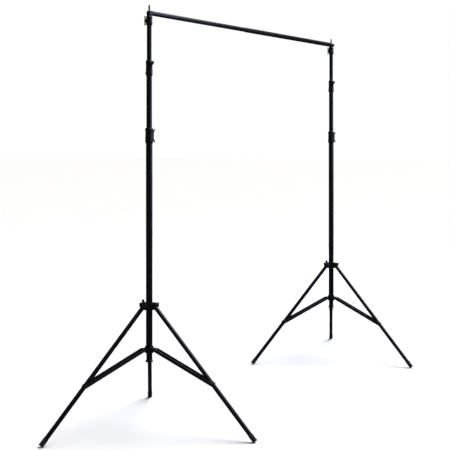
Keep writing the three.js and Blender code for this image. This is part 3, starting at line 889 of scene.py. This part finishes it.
def brace_mesh():
    half = STRAP["height"] / 2
    outline = []
    for middle_x, start in ((0, 90), (BRACE_LENGTH, -90)):
        for step in range(25):
            a = math.radians(start + 180 * step / 24)
            outline.append((middle_x + half * math.cos(a), half * math.sin(a)))
    straps = []
    outer = STRAP["inner"] + STRAP["thick"]
    for face in (-1, 1):
        strap = plate("strap", outline, STRAP["thick"])
        strap.transform(Matrix.Translation((0, face * (outer - STRAP["thick"] / 2) * MM, 0)))
        straps.append(made_of("strap", strap, [], [], 0.5))
    brace = bmesh.new()
    for strap in straps:
        brace.from_mesh(strap)
    rivet_head = domed_head(outer, BRACE_PIN["head"], BRACE_PIN["head_high"])
    rim = [(BRACE_PIN["radius"], outer - 0.4, 0)] + rivet_head
    through = turned("pin", eased(mirrored(rim) + rim), 40)
    through.transform(Matrix.Rotation(math.radians(-90), 4, "X"))
    brace.from_mesh(through)
    for face in (-1, 1):
        rivet_corners = [(0, outer - 1.2, 0), (BRACE_PIN["radius"], outer - 1.2, 0)] + rivet_head
        rivet = turned("rivet", eased(rivet_corners), 40)
        rivet.transform(Matrix.Rotation(math.radians(-90 * face), 4, "X"))
        rivet.transform(Matrix.Translation((BRACE_LENGTH * MM, 0, 0)))
        brace.from_mesh(rivet)
    whole = bpy.data.meshes.new("brace")
    brace.to_mesh(whole)
    brace.free()
    whole.shade_smooth()
    whole.set_sharp_from_angle(angle=math.radians(32))
    return whole


brace_straps = brace_mesh()
for side in SIDES:
    for number in LEGS:
        node = f"{side}_brace_{number}"
        pivot = Matrix.Translation(joints[f"{side}_brace_{number}_fold"]["pos_m"])
        outwards = Matrix.Rotation(leg_direction(side, number), 4, "Z")
        where = pivot @ outwards @ Matrix.Rotation(-BRACE_SLOPE, 4, "Y")
        set_in_place(node, brace_straps, where, brace_paint, node, "strap", node)


# --- Brace hub ---
# A nylon ring fixed round the column's foot, with one tongue for each brace. It stops the sliding
# hub, and a lip under the tube takes its weight.
BRACE_HUB = {"radius": 20.0, "up": 14.0, "down": 16.0, "ear": 8.0, "out": 34.5, "half": 10.3, "seat": 15.3}


def brace_hub_mesh():
    low, high = -BRACE_HUB["down"], BRACE_HUB["up"]
    r = BRACE_HUB["radius"]
    ring = turned("ring", eased([(0, low, 0), (r, low, 1.4), (r, high, 1.4), (0, high, 0)]))
    joined, cut = [], []
    ear = BRACE_HUB["ear"]
    tongue = [(0, ear), (0, -ear)]
    for step in range(25):
        a = math.radians(-90 + 180 * step / 24)
        tongue.append((BRACE_HUB["out"] + ear * math.cos(a), ear * math.sin(a)))
    hollow = eased([(22.5, -20), (28, -20), (28, -4), (22.5, -4)], 1.2)
    for number in range(3):
        turn = turn_z(90 + 120 * number)
        joined.append(part_copy(plate("tongue", tongue, 2 * BRACE_HUB["half"]), turn))
        hole = spindle(PIN_HOLE, -20, 20, "Y", 0, 32)
        hole.transform(Matrix.Translation((BRACE_HUB["out"] * MM, 0, 0)))
        cut.append(part_copy(hole, turn))
        cut.append(part_copy(plate("hollow", hollow, 2 * BRACE_HUB["half"] - 5), turn))
    cut.append(spindle(BRACE_HUB["seat"], low + 3.7, high + 5, "Z", 0, ROUND))
    cut.append(spindle(13.5, low - 5, high, "Z", 0, ROUND))
    return made_of("brace_hub", ring, joined, cut, 0.7)


brace_hub_casting = brace_hub_mesh()
for side in SIDES:
    where = in_stand(side, joints[f"{side}_brace_1_fold"]["pos_m"][2])
    node = f"{side}_brace_hub"
    set_in_place(node, brace_hub_casting, where, hub_nylon, f"{side}_column", "black_casting", node)


# --- End cap ---
# A nylon plug driven up into the column's lower end, with a plain neck below the brace hub and a
# rounded flange, dished underneath, that guards the end when the stand is set down folded.
CAP = {"flange": 17.5, "flange_high": 8.0, "neck": 13.2, "wall": 3.0}
for side in SIDES:
    low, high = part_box(side + "_end_cap")
    tall = (high.z - low.z) / MM
    flange, flange_high, neck = CAP["flange"], CAP["flange_high"], CAP["neck"]
    corners = [(0, 1.2, 0), (flange - 6, 1.2, 1), (flange - 4.5, 0, 0.8), (flange - 2, 0, 1)]
    corners += [(flange, 2, 1.2), (flange, flange_high - 2, 1.2), (flange - 2, flange_high, 1)]
    corners += [(neck, flange_high, 1.2), (neck, tall, 0.8), (neck - CAP["wall"], tall, 0.8)]
    corners += [(neck - CAP["wall"], CAP["wall"] + 1.2, 0.5), (0, CAP["wall"] + 1.2, 0)]
    cap = turned("end_cap", eased(corners))
    where = Matrix.Translation(column_at[side] + Vector((0, 0, low.z)))
    node = side + "_end_cap"
    set_in_place(node, cap, where, hub_nylon, side + "_column", "black_casting", node)


# --- Spigots ---
# The top tube ends in a pressed-in blackened steel plug with a bare 8 mm stud standing from it. The
# crossbar's lug drops over the stud and rests on the flange.
STUD = {"radius": 4.0, "rise": 44.0, "flange": 11.6, "flange_high": 5.5, "plug": 7.2, "plug_deep": 25.0}
stud_steel = black_steel("stud_steel", (0.03, 0.03, 0.035), 0.3, (0.14, 0.14, 0.145))
plug, r = STUD["plug"], STUD["radius"]
base, flange = STUD["plug_deep"], STUD["flange"]
on_flange = base + STUD["flange_high"]
tip = on_flange + STUD["rise"]
spigot_corners = [(0, 0, 0), (plug, 0, 0.8), (plug, base, 0), (flange, base, 0.3)]
spigot_corners += [(flange, on_flange, 0.7), (r + 0.7, on_flange, 0.4), (r, on_flange + 0.8, 0.3)]
spigot_corners += [(r, tip - 9, 0.2), (r - 0.7, tip - 8.4, 0.3), (r - 0.7, tip - 6.4, 0.3)]
spigot_corners += [(r, tip - 5.8, 0.2), (r, tip - 3, 1.4), (2.5, tip, 1.2), (0, tip, 0)]
spigot_mesh = turned("spigot", eased(spigot_corners), 56)
for side in SIDES:
    node = side + "_spigot"
    where = Matrix.Translation(column_at[side] + Vector((0, 0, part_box(node)[0].z)))
    set_in_place(node, spigot_mesh, where, stud_steel, side + "_top", "stud", node)


# --- Crossbar ---
# Two thin-walled black tubes that slide in each other to suit the backdrop's width. The wider one's
# mouth is rolled in over the narrower one.
BAR = {"inner": 11.0, "outer": 12.5, "wall": 1.1, "mouth": 2.4}
BAR_LENGTHWISE = Matrix.Rotation(math.radians(90), 4, "Y")


def bar_tube(node, radius, rolled):
    low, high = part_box(node)
    long = (high.x - low.x) / MM
    inside = radius - BAR["wall"]
    corners = [(inside, 0, 0.3), (radius, 0, 0.4), (radius, long, 0.4), (inside, long, 0.3)]
    if rolled:
        lip = BAR["inner"] + 0.25
        corners = [(lip, 0, 0.2), (lip + 0.7, 0, 0.3), (radius, BAR["mouth"], 1.4), (radius, long, 0.4)]
        corners += [(inside, long, 0.3), (inside, BAR["mouth"], 0.6)]
    where = Matrix.Translation((low.x, (low.y + high.y) / 2, (low.z + high.z) / 2)) @ BAR_LENGTHWISE
    return turned(node, eased(corners), 64), where


for node, body, radius, rolled in (
    ("bar_inner_tube", "bar_inner", BAR["inner"], False),
    ("bar_outer_tube", "bar_outer", BAR["outer"], True),
):
    mesh, where = bar_tube(node, radius, rolled)
    set_in_place(node, mesh, where, tube_coat, body, "black_tube", node)


# --- Crossbar lugs ---
# A moulded nylon tongue plugs each end of the bar. It has a round shoulder against the tube, and a
# drilled hole, eased at both faces, that fits over the stand's stud.
LUG = {"thick": 15.0, "wide": 20.0, "start": 14.0, "shoulder": 2.0, "plug": 40.0, "hole": 4.5}
LUG_OVERHANG = {"left": 13.5, "right": 30.0}


def lug_mesh(side, bar_radius):
    half = LUG["wide"] / 2
    end = half - LUG_OVERHANG[side]
    outline = [(LUG["start"] - 1, -half), (LUG["start"] - 1, half)]
    for step in range(25):
        a = math.radians(90 + 180 * step / 24)
        outline.append((end + half * math.cos(a), half * math.sin(a)))
    tongue = plate("tongue", outline, LUG["thick"])
    tongue.transform(Matrix.Rotation(math.radians(90), 4, "X"))
    shoulder_at = LUG["start"] - LUG["shoulder"]
    shoulder = spindle(bar_radius, shoulder_at, LUG["start"] - CLAMP_FIT, "X", 0.3, 64)
    plug_radius = bar_radius - BAR["wall"] - CLAMP_FIT
    plug = spindle(plug_radius, shoulder_at, LUG["start"] + LUG["plug"], "X", 0.8, 64)
    hole = spindle(LUG["hole"], -20, 20, "Z", 0, 40)
    return made_of("lug", tongue, [shoulder, plug], [hole], 0.8)


for side, bar_radius in (("left", BAR["inner"]), ("right", BAR["outer"])):
    node = f"bar_{side}_lug"
    body = "bar_inner" if side == "left" else "bar_outer"
    height = middle_of(node).z
    facing = Matrix.Identity(4) if side == "left" else turn_z(180)
    where = Matrix.Translation(column_at[side] + Vector((0, 0, height))) @ facing
    set_in_place(node, lug_mesh(side, bar_radius), where, clamp_nylon, body, "black_casting", node)
